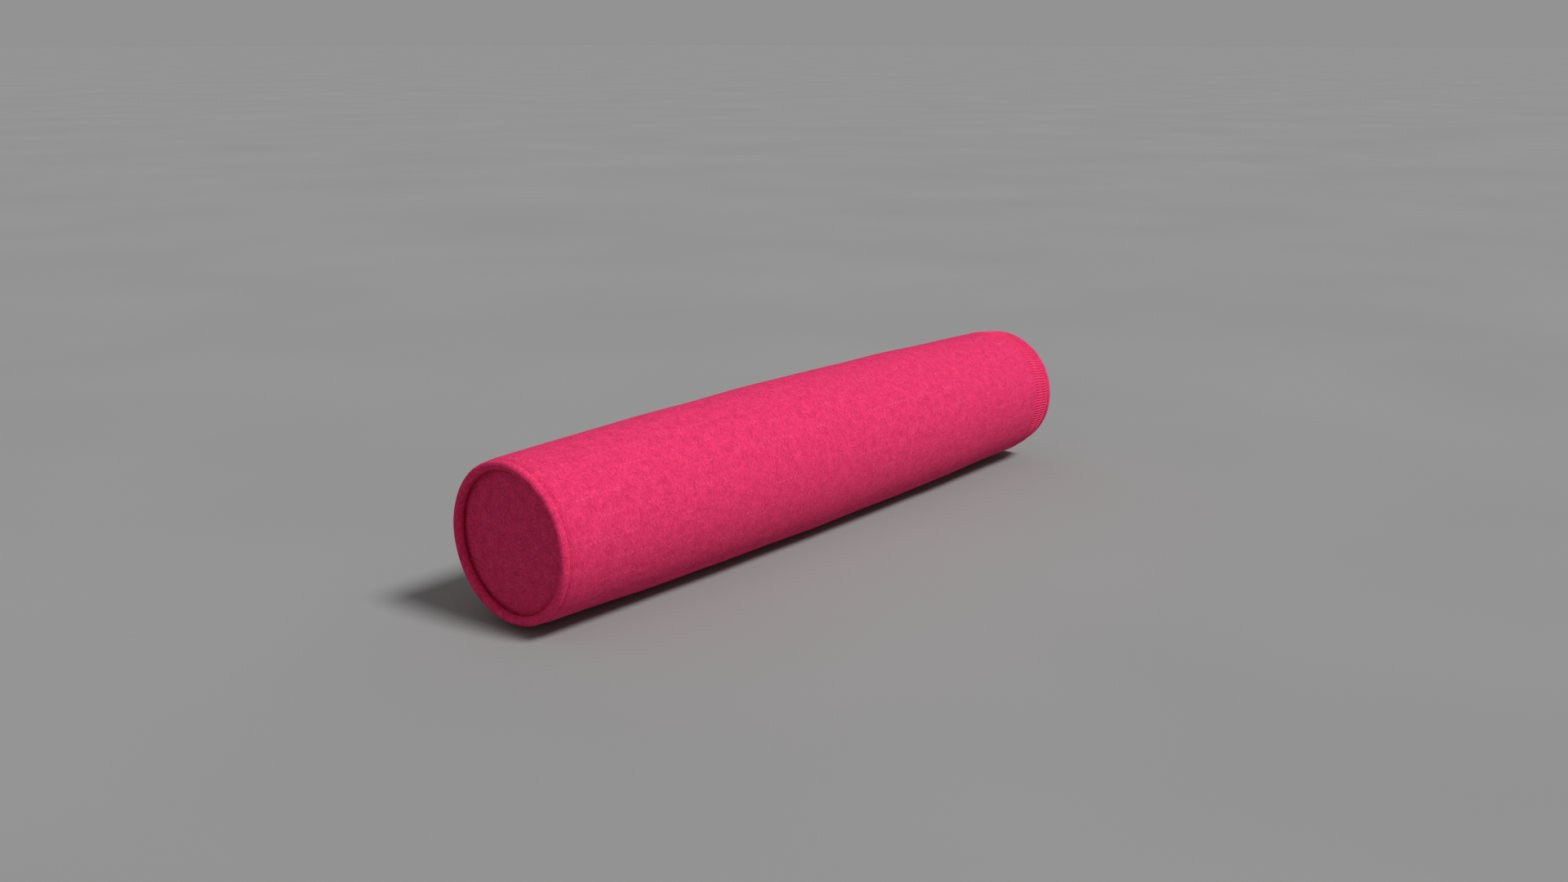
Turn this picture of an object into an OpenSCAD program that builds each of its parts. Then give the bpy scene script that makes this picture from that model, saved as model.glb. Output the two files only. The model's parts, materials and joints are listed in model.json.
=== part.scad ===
// Covered cylindrical float: a foam core in a knitted, piped and zipped cover, lying on its side.
// The long axis runs along X, the near end is at -X, and Z is up from the surface it rests on.

/* [Body] */
// Overall length, over the piping at both ends
length = 600; // [480:5:760]
// Diameter at the fullest point
mid_d = 122; // [96:1:160]
// How far the middle bulges beyond the ends, on the radius
bulge = 3.9; // [1:0.1:8]
// Length of the rounding behind the near rim
near_shoulder = 17; // [13:1:40]
// Length of the rounding behind the far rim
far_shoulder = 50; // [25:1:80]
// How far the weight presses the underside flat
rest_press = 1; // [0.5:0.1:2]

/* [Cover] */
// Thickness of the knitted cover fabric
cover_t = 1.4; // [0.8:0.1:2]
// Step from the body's end radius down to the outside of the near piping
near_rim_step = 1.2; // [0.8:0.1:3]
// Step from the body's end radius down to the outside of the far piping
far_rim_step = 3.2; // [2:0.1:6]
// Length of the seam edges turned to the inside
seam_turn = 10; // [8:0.5:14]
// Thickness of the tape that binds the seam edges
binding_t = 0.5; // [0.3:0.1:0.6]
// How far the binding's legs reach over the seam edges
binding_reach = 5; // [3:0.5:6]

/* [Piping] */
// Outside diameter of the covered piping
pipe_d = 7; // [5:0.1:9]
// Thickness of the piping's fabric strip
strip_t = 0.8; // [0.4:0.1:1]

/* [Filling] */
// Thickness of the wadding round the core at the fullest point
wrap_t = 9; // [8:0.5:14]
// Thickness of the liner fabric
liner_t = 0.5; // [0.3:0.1:0.8]
// Ease between one layer of the filling and the next
ease = 0.2; // [0.1:0.05:0.4]
// Rounding of the foam core's two edges
core_edge = 3; // [1:0.5:6]

/* [Flatlock stitching] */
// Width of one row of stitches round the far shoulder
stitch_row_w = 11; // [5:0.5:14]
// Gap between the rows
stitch_row_gap = 1; // [0.5:0.1:2]
// Distance from the cover's far edge to the first row
stitch_row_inset = 1; // [0.5:0.1:3]
// How far the thread stands proud of the cover
thread_h = 0.3; // [0.2:0.05:0.4]

/* [Zip] */
// Length of the opening
zip_l = 400; // [300:5:480]
// Height of the zip round the back, in degrees above the horizontal
zip_angle = 15; // [0:1:40]
// Half width of the opening in the cover
zip_slot_half = 5; // [5:0.1:7]
// Width from the centre line to the outer edge of a tape
tape_half = 12; // [10:0.5:14]
// Gap from the centre line to a tape's inner edge
tape_gap = 1.5; // [1.5:0.1:2]
// Thickness of a tape
tape_t = 0.6; // [0.4:0.05:0.7]
// How far the tapes run on past the opening at each end
tape_over = 12; // [8:1:18]
// Distance from tooth to tooth on one tape
tooth_pitch = 3.2; // [3:0.1:4]
// Length of a tooth along the zip
tooth_l = 1.4; // [1:0.1:1.4]
// How far a tooth reaches over the centre line
tooth_over = 0.9; // [0.6:0.1:1]
// Distance from the centre line to the back of a tooth
tooth_back = 3.2; // [2.6:0.1:3.2]
// Thickness of the teeth
tooth_t = 2.6; // [2.2:0.1:2.8]
// Pitch of the topstitching
topstitch_pitch = 3.5; // [2.5:0.5:5]
// Distance from the edge of the opening to the topstitching
topstitch_inset = 2; // [1.5:0.5:4]
// Width of a topstitch
thread_w = 0.5; // [0.3:0.1:0.8]
// Width of a bar tack along the zip
tack_w = 1.6; // [1:0.1:3]
// Length of the stops at the two ends of the teeth
stop_l = 3; // [2:0.5:4]
// Gap from an end of the opening to the bottom stop and to the bar tacks
end_gap = 0.5; // [0.3:0.1:1]

/* [Slider] */
// Length of the slider's plates
slider_l = 12; // [10:0.5:14]
// Half width of the slider's plates
slider_half = 4.5; // [4.3:0.1:4.6]
// Thickness of each plate
plate_t = 1.1; // [0.8:0.1:1.2]
// Thickness of the flanges along the plates' edges
flange_w = 0.9; // [0.6:0.1:0.9]
// Running gap between the slider and the teeth
run_gap = 0.25; // [0.2:0.05:0.4]
// Running gap between the slider and a tape
tape_run = 0.3; // [0.2:0.05:0.35]
// Half width of the post that parts the teeth
post_half = 0.8; // [0.5:0.1:0.8]
// Length of the bridge that holds the pull
bridge_l = 8; // [7:0.5:9]
// Half width of the bridge
bridge_half = 1; // [0.8:0.1:1.2]
// Thickness of the bridge's legs and top
bridge_t = 1.2; // [0.8:0.1:1.3]
// Length of the pull, from its pivot
pull_l = 27; // [20:1:36]
// Half width of the pull
pull_half = 4; // [3.2:0.1:4.5]
// Thickness of the pull and diameter of its cross bar
pull_t = 1.2; // [1:0.1:1.4]
// Border round the pull's sunk grip, and inset of its arms
pull_side = 0.6; // [0.5:0.1:0.8]
// Depth of the sunk grip on each face of the pull
grip_sink = 0.3; // [0.1:0.05:0.4]
// Clearance all round the pull
pull_gap = 0.3; // [0.25:0.05:0.4]

/* [Hidden] */
$fn = 144;

cover_colour = "#e03667";
inner_colour = "#f2efe8";
foam_colour = "#8f979c";
tape_colour = "#c22a57";
slider_colour = "#a9adb1";

near = -1;
far = 1;
upper = 1;
lower = -1;

mid_r = mid_d / 2;
end_r = mid_r - bulge;
pipe_r = pipe_d / 2;
rest_r = mid_r - rest_press;
// Where the barrel meets the two shoulders, and its fullest point
barrel_x0 = -length / 2 + near_shoulder;
barrel_x1 = length / 2 - far_shoulder;
barrel_mid = (barrel_x0 + barrel_x1) / 2;
barrel_steps = 14;
shoulder_steps = 9;

// Distances from the piping's outermost plane, inwards: fabric edge, seam end, binding's leg, filling
edge_in = pipe_d;
seam_in = edge_in + seam_turn;
leg_in = seam_in - binding_reach;
fill_in = seam_in + binding_t + ease;

// The ring of the piping leaves room under the cover for the hem and its binding
seam_stack = strip_t + cover_t + binding_t + ease + cover_t;
near_rim_r = end_r - max(near_rim_step + pipe_r, seam_stack / (1 - shoulder(1 - leg_in / near_shoulder)));
far_rim_r = end_r - max(far_rim_step + pipe_r, seam_stack / (1 - shoulder(1 - leg_in / far_shoulder)));

core_r = mid_r - cover_t - ease - liner_t - ease - wrap_t;
core_in = fill_in + liner_t + ease;

// Zip, measured outwards from the long axis (levels) and round from its own centre line
zip_x0 = barrel_mid - zip_l / 2;
zip_x1 = barrel_mid + zip_l / 2;
tape_x0 = zip_x0 - tape_over;
tape_x1 = zip_x1 + tape_over;
tape_margin = 0.5;
zip_level = sqrt(pow(outer_r(tape_x1), 2) - pow(tape_half + tape_margin, 2));
tape_level = zip_level - cover_t - tape_t / 2;
plate_under = tape_level + tooth_t / 2 + run_gap;
plate_top = plate_under + plate_t;
slider_depth = tooth_t / 2 + run_gap + plate_t;
liner_press = zip_level - tape_level + slider_depth + tape_run;

slider_front_gap = 1;
slider_x = zip_x1 - slider_front_gap - slider_l / 2;
slider_widest = slider_l / 6;
post_x0 = slider_x + slider_widest;
post_x1 = slider_x + slider_l / 2 - slider_front_gap;
teeth_x1 = post_x0 - pull_gap;
teeth_x0 = zip_x0 + stop_l + 2 * end_gap;

// Teeth are counted first, then spread so that the last one ends at the bottom stop
teeth_run = teeth_x1 - teeth_x0 - tooth_l;
teeth_n = floor(teeth_run / tooth_pitch + 1 / 2);
teeth_step = teeth_run / (teeth_n - 1 / 2);

bridge_h = pull_gap + pull_t + pull_gap + bridge_t;
pivot_level = plate_top + pull_gap + pull_t / 2;
eye_gap = 1;
pull_eye = bridge_l / 2 + eye_gap;
topstitch_share = 0.75;

// How far a cutting body runs past what it cuts
cut_past = 1;

function near_drop() = end_r - near_rim_r;
function far_drop() = end_r - far_rim_r;

// Share of a shoulder's drop that is reached at a share s of its length
function shoulder(s) = 1 - sqrt(max(0, 1 - pow(max(0, s), 2)));

// Radius of the outside of the cover at a place along the axis
function outer_r(x) =
    x < barrel_x0 ? end_r - near_drop() * shoulder((barrel_x0 - x) / near_shoulder) :
    x > barrel_x1 ? end_r - far_drop() * shoulder((x - barrel_x1) / far_shoulder) :
    end_r + bulge * (1 - pow((x - barrel_mid) / (barrel_x1 - barrel_mid), 2));

stations = concat(
    [for (i = [shoulder_steps - 1 : -1 : 1]) barrel_x0 - near_shoulder * sin(90 * i / shoulder_steps)],
    [for (i = [0 : barrel_steps]) barrel_x0 + (barrel_x1 - barrel_x0) * i / barrel_steps],
    [for (i = [1 : shoulder_steps - 1]) barrel_x1 + far_shoulder * sin(90 * i / shoulder_steps)]
);

// The stations that lie between two places, with the two places themselves
function between(x0, x1) =
    concat([x0], [for (x = stations) if (x > x0 + ease && x < x1 - ease) x], [x1]);

// Turns what is drawn as radius and height into a body round the long axis
module round_x() {
    rotate([0, 90, 0]) rotate_extrude() children();
}

// Solid of revolution under the outer surface, sunk by a depth
module barrel(depth, x0, x1) {
    round_x() polygon(concat(
        [[0, x0]],
        [for (x = between(x0, x1)) [outer_r(x) - depth, x]],
        [[0, x1]]
    ));
}

// The barrel pressed flat underneath, and along the zip as far from both ends as asked
module pressed(depth, zip_depth, x0, x1, flat_in = -length / 2) {
    difference() {
        barrel(depth, x0, x1);
        translate([-length, -mid_d, -mid_d - rest_r + depth]) cube([2 * length, 2 * mid_d, mid_d]);
        rotate([zip_angle, 0, 0]) translate([flat_in - length / 2, zip_level - zip_depth, -mid_d])
            cube([length - 2 * flat_in, mid_d, 2 * mid_d]);
    }
}

// Cylinder along X between two places
module rod_x(r, x0, x1) {
    translate([x0, 0, 0]) rotate([0, 90, 0]) cylinder(r = r, h = x1 - x0);
}

// Tube along X between two places
module tube_x(r_out, r_in, x0, x1) {
    round_x() translate([r_in, x0]) square([r_out - r_in, x1 - x0]);
}

// Stands its children on the surface
module standing() {
    translate([0, 0, rest_r]) children();
}

// Puts its children in the zip's own frame: Y is outwards, Z goes up round the body
module on_zip() {
    standing() rotate([zip_angle, 0, 0]) children();
}

// Draws its children at the near end as they are, or turned round for the far end
module at_end(side) {
    standing() if (side == near) translate([-length / 2, 0, 0]) children();
    else translate([length / 2, 0, 0]) mirror([1, 0, 0]) children();
}

function rim_r(side) = side == near ? near_rim_r : far_rim_r;

// ---- Filling

module foam_core() {
    color(foam_colour) standing() round_x() polygon([
        [0, core_in - length / 2],
        [core_r - core_edge, core_in - length / 2],
        [core_r, core_in - length / 2 + core_edge],
        [core_r, length / 2 - core_in - core_edge],
        [core_r - core_edge, length / 2 - core_in],
        [0, length / 2 - core_in]
    ]);
}

module comfort_wrap() {
    depth = cover_t + ease + liner_t + ease;
    color(inner_colour) standing() difference() {
        pressed(depth, liner_press + liner_t + ease, core_in - length / 2, length / 2 - core_in);
        rod_x(core_r, -length, length);
    }
}

// Everything inside the liner's sleeve, open past both its ends
module liner_inside() {
    pressed(cover_t + ease + liner_t, liner_press + liner_t,
            fill_in - length / 2 - cut_past, length / 2 - fill_in + cut_past);
}

module liner_sleeve() {
    color(inner_colour) standing() difference() {
        pressed(cover_t + ease, liner_press, fill_in - length / 2, length / 2 - fill_in);
        liner_inside();
    }
}

module liner_end(x0) {
    color(inner_colour) standing() intersection() {
        liner_inside();
        translate([x0, -mid_d, -mid_d]) cube([liner_t, 2 * mid_d, 2 * mid_d]);
    }
}

module near_liner_end() {
    liner_end(fill_in - length / 2);
}

module far_liner_end() {
    liner_end(length / 2 - fill_in - liner_t);
}

module end_pad(side) {
    pad_r = rim_r(side) - strip_t - cover_t - binding_t - ease;
    color(inner_colour) at_end(side) rod_x(pad_r, edge_in + cover_t + ease, fill_in - ease);
}

module near_end_pad() {
    end_pad(near);
}

module far_end_pad() {
    end_pad(far);
}

// ---- Cover

// Turned-in edge of the sleeve and the ring that closes it on to the piping's flange
module sleeve_hem(side) {
    at_end(side) tube_x(rim_r(side) + strip_t + cover_t, rim_r(side) + strip_t, edge_in, seam_in);
}

module cover_sleeve() {
    x0 = edge_in - length / 2;
    x1 = length / 2 - edge_in;
    color(cover_colour) {
        standing() difference() {
            pressed(0, 0, x0, x1, fill_in + cover_t);
            pressed(cover_t, cover_t, x0 + cover_t, x1 - cover_t, fill_in);
            rod_x(near_rim_r + strip_t, x0 - cut_past, x0 + cover_t + cut_past);
            rod_x(far_rim_r + strip_t, x1 - cover_t - cut_past, x1 + cut_past);
            rotate([zip_angle, 0, 0])
                translate([zip_x0, zip_level - 2 * cover_t, -zip_slot_half])
                cube([zip_l, 4 * cover_t, 2 * zip_slot_half]);
        }
        sleeve_hem(near);
        sleeve_hem(far);
    }
}

module end_panel(side) {
    panel_r = rim_r(side) - strip_t;
    color(cover_colour) at_end(side) {
        rod_x(panel_r, edge_in, edge_in + cover_t);
        tube_x(panel_r, panel_r - cover_t, edge_in, seam_in);
    }
}

module near_end_panel() {
    end_panel(near);
}

module far_end_panel() {
    end_panel(far);
}

module piping_cover(side) {
    color(cover_colour) at_end(side) round_x() difference() {
        union() {
            translate([rim_r(side), pipe_r]) circle(r = pipe_r);
            translate([rim_r(side) - strip_t, pipe_r]) square([2 * strip_t, seam_in - pipe_r]);
        }
        translate([rim_r(side), pipe_r]) circle(r = pipe_r - strip_t);
    }
}

module near_piping_cover() {
    piping_cover(near);
}

module far_piping_cover() {
    piping_cover(far);
}

module piping_cord(side) {
    color(inner_colour) at_end(side) round_x()
        translate([rim_r(side), pipe_r]) circle(r = pipe_r - strip_t);
}

module near_piping_cord() {
    piping_cord(near);
}

module far_piping_cord() {
    piping_cord(far);
}

module seam_binding(side) {
    r_in = rim_r(side) - strip_t - cover_t;
    r_out = rim_r(side) + strip_t + cover_t;
    leg_x0 = seam_in - binding_reach;
    color(tape_colour) at_end(side) {
        tube_x(r_in, r_in - binding_t, leg_x0, seam_in + binding_t);
        tube_x(r_out, r_in, seam_in, seam_in + binding_t);
        tube_x(r_out + binding_t, r_out, leg_x0, seam_in + binding_t);
    }
}

module near_seam_binding() {
    seam_binding(near);
}

module far_seam_binding() {
    seam_binding(far);
}

// A row of stitches is drawn as the thin band that they cover
module stitch_band(x0, x1) {
    stops = between(x0, x1);
    round_x() polygon(concat(
        [for (x = stops) [outer_r(x) + thread_h, x]],
        [for (i = [len(stops) - 1 : -1 : 0]) [outer_r(stops[i]), stops[i]]]
    ));
}

module far_flatlock_stitching() {
    color(cover_colour) standing() for (row = [0, 1]) {
        x1 = length / 2 - edge_in - stitch_row_inset - row * (stitch_row_w + stitch_row_gap);
        stitch_band(x1 - stitch_row_w, x1);
    }
}

// ---- Zip

// Box in the zip's frame, from its lowest to its highest corner
module block(low, high) {
    translate(low) cube(high - low);
}

module tape_slab(side) {
    z0 = side == upper ? tape_gap : -tape_half;
    block([tape_x0, tape_level - tape_t / 2, z0],
          [tape_x1, tape_level + tape_t / 2, z0 + tape_half - tape_gap]);
}

module zip_tape_upper() {
    color(tape_colour) on_zip() tape_slab(upper);
}

module zip_tape_lower() {
    color(tape_colour) on_zip() tape_slab(lower);
}

// Block as thick as the teeth, clamped over the tapes it crosses
module clamped(x0, x1, z0, z1) {
    difference() {
        block([x0, tape_level - tooth_t / 2, z0], [x1, tape_level + tooth_t / 2, z1]);
        tape_slab(upper);
        tape_slab(lower);
    }
}

module tooth(side, x) {
    z_a = side * tooth_back;
    z_b = -side * tooth_over;
    clamped(x - tooth_l / 2, x + tooth_l / 2, min(z_a, z_b), max(z_a, z_b));
}

module teeth(side) {
    shift = side == upper ? 0 : teeth_step / 2;
    color(cover_colour) on_zip() for (i = [0 : teeth_n - 1])
        tooth(side, teeth_x1 - tooth_l / 2 - shift - i * teeth_step);
}

module zip_teeth_upper() {
    teeth(upper);
}

module zip_teeth_lower() {
    teeth(lower);
}

module zip_top_stops() {
    z_in = post_half + pull_gap;
    color(cover_colour) on_zip() for (side = [upper, lower])
        clamped(post_x0, post_x1,
                min(side * z_in, side * tooth_back), max(side * z_in, side * tooth_back));
}

module zip_bottom_stop() {
    x0 = zip_x0 + end_gap;
    color(cover_colour) on_zip() clamped(x0, x0 + stop_l, -tooth_back, tooth_back);
}

module topstitching(side) {
    z = side * (zip_slot_half + topstitch_inset);
    color(tape_colour) on_zip() for (x = [zip_x0 : topstitch_pitch : zip_x1 - topstitch_pitch])
        block([x, zip_level, z - thread_w / 2],
              [x + topstitch_pitch * topstitch_share, zip_level + thread_h, z + thread_w / 2]);
}

module zip_stitching_upper() {
    topstitching(upper);
}

module zip_stitching_lower() {
    topstitching(lower);
}

module zip_bar_tacks() {
    reach = zip_slot_half + topstitch_inset;
    color(tape_colour) on_zip() for (x = [zip_x0 - tack_w - end_gap, zip_x1 + end_gap])
        block([x, zip_level, -reach], [x + tack_w, zip_level + thread_h, reach]);
}

// Outline of a plate, narrower at the tail
module plate(level) {
    tail_half = slider_half - flange_w;
    translate([slider_x, level + plate_t, 0]) rotate([90, 0, 0]) linear_extrude(plate_t) polygon([
        [-slider_l / 2, -tail_half], [-slider_widest, -slider_half],
        [slider_l / 2, -slider_half], [slider_l / 2, slider_half],
        [-slider_widest, slider_half], [-slider_l / 2, tail_half]
    ]);
}

module slider_flanges() {
    front = slider_x + slider_l / 2;
    back = slider_x - slider_widest;
    for (side = [upper, lower]) {
        z0 = side == upper ? slider_half - flange_w : -slider_half;
        block([back, tape_level + tape_t / 2 + tape_run, z0], [front, plate_top, z0 + flange_w]);
        block([back, tape_level - slider_depth, z0],
              [front, tape_level - tape_t / 2 - tape_run, z0 + flange_w]);
    }
}

module slider_bridge() {
    difference() {
        block([slider_x - bridge_l / 2, plate_top, -bridge_half],
              [slider_x + bridge_l / 2, plate_top + bridge_h, bridge_half]);
        block([slider_x - bridge_l / 2 + bridge_t, plate_top, -2 * bridge_half],
              [slider_x + bridge_l / 2 - bridge_t, plate_top + bridge_h - bridge_t, 2 * bridge_half]);
    }
}

module zip_slider() {
    color(slider_colour) on_zip() {
        plate(plate_under);
        plate(tape_level - slider_depth);
        slider_flanges();
        block([post_x0, tape_level - slider_depth, -post_half], [post_x1, plate_top, post_half]);
        slider_bridge();
    }
}

// The pull's outline, as thick as asked, about its own mid level
module pull_shape(half, x_end, thick) {
    block([slider_x - pull_l + pull_half, pivot_level - thick / 2, -half],
          [x_end, pivot_level + thick / 2, half]);
    translate([slider_x - pull_l + pull_half, pivot_level + thick / 2, 0]) rotate([90, 0, 0])
        cylinder(r = half, h = thick);
}

module zip_pull() {
    arm_in = bridge_half + pull_gap;
    arm_out = pull_half - pull_side;
    grip_end = slider_x - pull_eye - 2 * pull_side;
    color(slider_colour) on_zip() {
        difference() {
            pull_shape(pull_half, slider_x - pull_eye, pull_t);
            for (level = [-1, 1]) translate([0, level * (pull_t - grip_sink), 0])
                pull_shape(pull_half - 2 * pull_side, grip_end, pull_t);
        }
        translate([slider_x, pivot_level, -arm_out]) cylinder(d = pull_t, h = 2 * arm_out);
        for (z0 = [arm_in, -arm_out])
            block([slider_x - pull_eye, pivot_level - pull_t / 2, z0],
                  [slider_x, pivot_level + pull_t / 2, z0 + arm_out - arm_in]);
    }
}

foam_core();
comfort_wrap();
liner_sleeve();
near_liner_end();
far_liner_end();
near_end_pad();
far_end_pad();
cover_sleeve();
near_end_panel();
far_end_panel();
near_piping_cover();
far_piping_cover();
near_piping_cord();
far_piping_cord();
near_seam_binding();
far_seam_binding();
far_flatlock_stitching();
zip_tape_upper();
zip_tape_lower();
zip_teeth_upper();
zip_teeth_lower();
zip_top_stops();
zip_bottom_stop();
zip_stitching_upper();
zip_stitching_lower();
zip_bar_tacks();
zip_slider();
zip_pull();
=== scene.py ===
import json
import math
import bpy
import numpy as np
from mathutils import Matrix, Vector
from mathutils.bvhtree import BVHTree


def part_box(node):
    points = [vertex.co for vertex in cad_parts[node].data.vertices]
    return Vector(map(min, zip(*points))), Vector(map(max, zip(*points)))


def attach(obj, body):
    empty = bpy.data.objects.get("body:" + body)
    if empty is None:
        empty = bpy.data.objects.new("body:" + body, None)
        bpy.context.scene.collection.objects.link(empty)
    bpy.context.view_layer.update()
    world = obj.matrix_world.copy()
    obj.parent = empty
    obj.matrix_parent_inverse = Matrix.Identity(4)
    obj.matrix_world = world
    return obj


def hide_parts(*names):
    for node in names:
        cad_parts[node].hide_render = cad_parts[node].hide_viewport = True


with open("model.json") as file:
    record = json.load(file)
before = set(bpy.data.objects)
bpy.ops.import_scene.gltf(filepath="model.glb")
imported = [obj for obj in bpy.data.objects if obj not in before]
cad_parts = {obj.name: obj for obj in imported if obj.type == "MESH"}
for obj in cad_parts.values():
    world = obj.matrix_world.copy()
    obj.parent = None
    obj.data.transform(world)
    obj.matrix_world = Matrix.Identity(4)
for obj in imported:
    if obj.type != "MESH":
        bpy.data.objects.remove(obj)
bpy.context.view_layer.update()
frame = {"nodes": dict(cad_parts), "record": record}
scene = bpy.context.scene
nodes = frame["nodes"]
record = frame["record"]
mm = 0.001
turn = 2 * math.pi

# What the frame says
coreLow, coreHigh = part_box("foam_core")
axisZ = (coreLow.z + coreHigh.z) / 2
joints = {joint["name"]: joint for joint in record["behaviour"]["joints"]}
pivotAxis = Vector(joints["pull_flip"]["axis"])
zipAngle = math.atan2(pivotAxis.y, -pivotAxis.z)  # above the horizontal, on the +Y side
sleeveLow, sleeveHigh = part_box("cover_sleeve")
tackLow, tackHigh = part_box("zip_bar_tacks")
tack = {"width": 1.6 * mm, "gap": 0.5 * mm, "pitch": 0.75 * mm, "lean": 0.3 * mm}
slotStart = tackLow.x + tack["width"] + tack["gap"]
slotEnd = tackHigh.x - tack["width"] - tack["gap"]
hair = 0.01 * mm  # closer than this counts as the same place


def onBody(x, radius, angle):
    return Vector((x, radius * math.cos(angle), axisZ + radius * math.sin(angle)))


# Camera, floor and light
view = {
    "azimuth": -50.15,
    "elevation": 14.83,
    "distance": 1.21,
    "aside": 0.0121,
    "below": 0.0084,
    "lens": 35,
    "sensor": 36,
}


def makeCamera():
    turned = math.radians(view["azimuth"])
    raised = math.radians(view["elevation"])
    level = math.cos(raised)
    back = Vector((math.sin(turned) * level, -math.cos(turned) * level, math.sin(raised)))
    right = Vector((math.cos(turned), math.sin(turned), 0))
    up = back.cross(right)
    camera = bpy.data.objects.new("camera", bpy.data.cameras.new("camera"))
    camera.data.lens = view["lens"]
    camera.data.sensor_width = view["sensor"]
    middle = Vector(((sleeveLow.x + sleeveHigh.x) / 2, 0, axisZ))
    camera.location = middle + back * view["distance"] - right * view["aside"] + up * view["below"]
    camera.rotation_euler = (-back).to_track_quat("-Z", "Y").to_euler()
    scene.collection.objects.link(camera)
    scene.camera = camera


makeCamera()
print("camera placed")

studio = {
    "floor": (0.283, 0.283, 0.283),
    "floorTones": (0.97, 1.03),
    "floorMottle": 2.0,
    "floorSize": 120,
    "sky": (1.0, 1.0, 1.0),
    "skyStrength": 0.29,
    "keyFrom": (0.11, -0.61, 0.78),
    "keyStrength": 3.0,
    "keySoftness": 14,
}


# A broad, even light that falls the same way on the whole floor
def farLight(name, towards, strength, softness):
    lamp = bpy.data.lights.new(name, "SUN")
    lamp.energy = strength
    lamp.angle = math.radians(softness)
    light = bpy.data.objects.new(name, lamp)
    light.location = towards
    light.rotation_euler = (-Vector(towards)).to_track_quat("-Z", "Y").to_euler()
    scene.collection.objects.link(light)


def makeStudio():
    world = bpy.data.worlds.new("studio")
    world.use_nodes = True
    backdrop = world.node_tree.nodes["Background"]
    backdrop.inputs["Color"].default_value = (*studio["sky"], 1)
    backdrop.inputs["Strength"].default_value = studio["skyStrength"]
    scene.world = world
    farLight("keyLight", studio["keyFrom"], studio["keyStrength"], studio["keySoftness"])
    half = studio["floorSize"] / 2
    mesh = bpy.data.meshes.new("floor")
    corners = [(-half, -half, 0), (half, -half, 0), (half, half, 0), (-half, half, 0)]
    mesh.from_pydata(corners, [], [(0, 1, 2, 3)])
    floor = bpy.data.objects.new("floor", mesh)
    scene.collection.objects.link(floor)
    return floor


floor = makeStudio()
scene.view_settings.view_transform = "Standard"
print("studio lit")


# Small helpers for shader nodes
def addNode(tree, kind, inputs=None, **settings):
    node = tree.nodes.new(kind)
    for key, value in settings.items():
        setattr(node, key, value)
    for key, value in (inputs or {}).items():
        if isinstance(value, bpy.types.NodeSocket):
            tree.links.new(value, node.inputs[key])
        else:
            node.inputs[key].default_value = value
    return node


def calc(tree, operation, first, second=0.0, third=0.0):
    node = addNode(tree, "ShaderNodeMath", {0: first, 1: second, 2: third}, operation=operation)
    return node.outputs[0]


def startMaterial(name, roughness, **sockets):
    material = bpy.data.materials.new(name)
    material.use_nodes = True
    tree = material.node_tree
    shader = tree.nodes["Principled BSDF"]
    shader.inputs["Roughness"].default_value = roughness
    for key, value in sockets.items():
        shader.inputs[key.replace("_", " ")].default_value = value
    return material, tree, shader


def noise(tree, place, scale, detail=2.0, roughness=0.5):
    inputs = {"Vector": place, "Scale": scale, "Detail": detail, "Roughness": roughness}
    return addNode(tree, "ShaderNodeTexNoise", inputs).outputs["Fac"]


def ramp(tree, factor, stops):
    node = addNode(tree, "ShaderNodeValToRGB", {"Fac": factor})
    parts = node.color_ramp.elements
    while len(parts) < len(stops):
        parts.new(0.5)
    for part, (place, colour) in zip(parts, stops):
        part.position = place
        part.color = (*colour, 1)
    return node.outputs["Color"]


def blendColours(tree, factor, first, second, mode="MIX"):
    node = addNode(tree, "ShaderNodeMix", data_type="RGBA", blend_type=mode)
    for socket, value in zip((node.inputs[0], node.inputs[6], node.inputs[7]), (factor, first, second)):
        if isinstance(value, bpy.types.NodeSocket):
            tree.links.new(value, socket)
        else:
            socket.default_value = value
    return node.outputs[2]


def setBump(tree, shader, height, strength, distance):
    inputs = {"Height": height, "Strength": strength, "Distance": distance}
    bump = addNode(tree, "ShaderNodeBump", inputs)
    tree.links.new(bump.outputs["Normal"], shader.inputs["Normal"])


# Coordinates laid out flat: along the fabric's length and across it, in metres
def wrappedPlace(tree):
    place = addNode(tree, "ShaderNodeTexCoord").outputs["Object"]
    parts = addNode(tree, "ShaderNodeSeparateXYZ", {0: place})
    level = calc(tree, "SUBTRACT", parts.outputs["Z"], axisZ)
    side, rise = math.cos(zipAngle), math.sin(zipAngle)
    outward = calc(tree, "MULTIPLY_ADD", parts.outputs["Y"], side, calc(tree, "MULTIPLY", level, rise))
    upward = calc(tree, "MULTIPLY_ADD", parts.outputs["Y"], -rise, calc(tree, "MULTIPLY", level, side))
    angle = calc(tree, "ARCTAN2", upward, calc(tree, "MULTIPLY", outward, -1.0))
    return parts.outputs["X"], calc(tree, "MULTIPLY", angle, knit["wrapRadius"]), place


def flatPlace(tree):
    place = addNode(tree, "ShaderNodeTexCoord").outputs["Object"]
    parts = addNode(tree, "ShaderNodeSeparateXYZ", {0: place})
    return parts.outputs["Z"], parts.outputs["Y"], place


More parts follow.
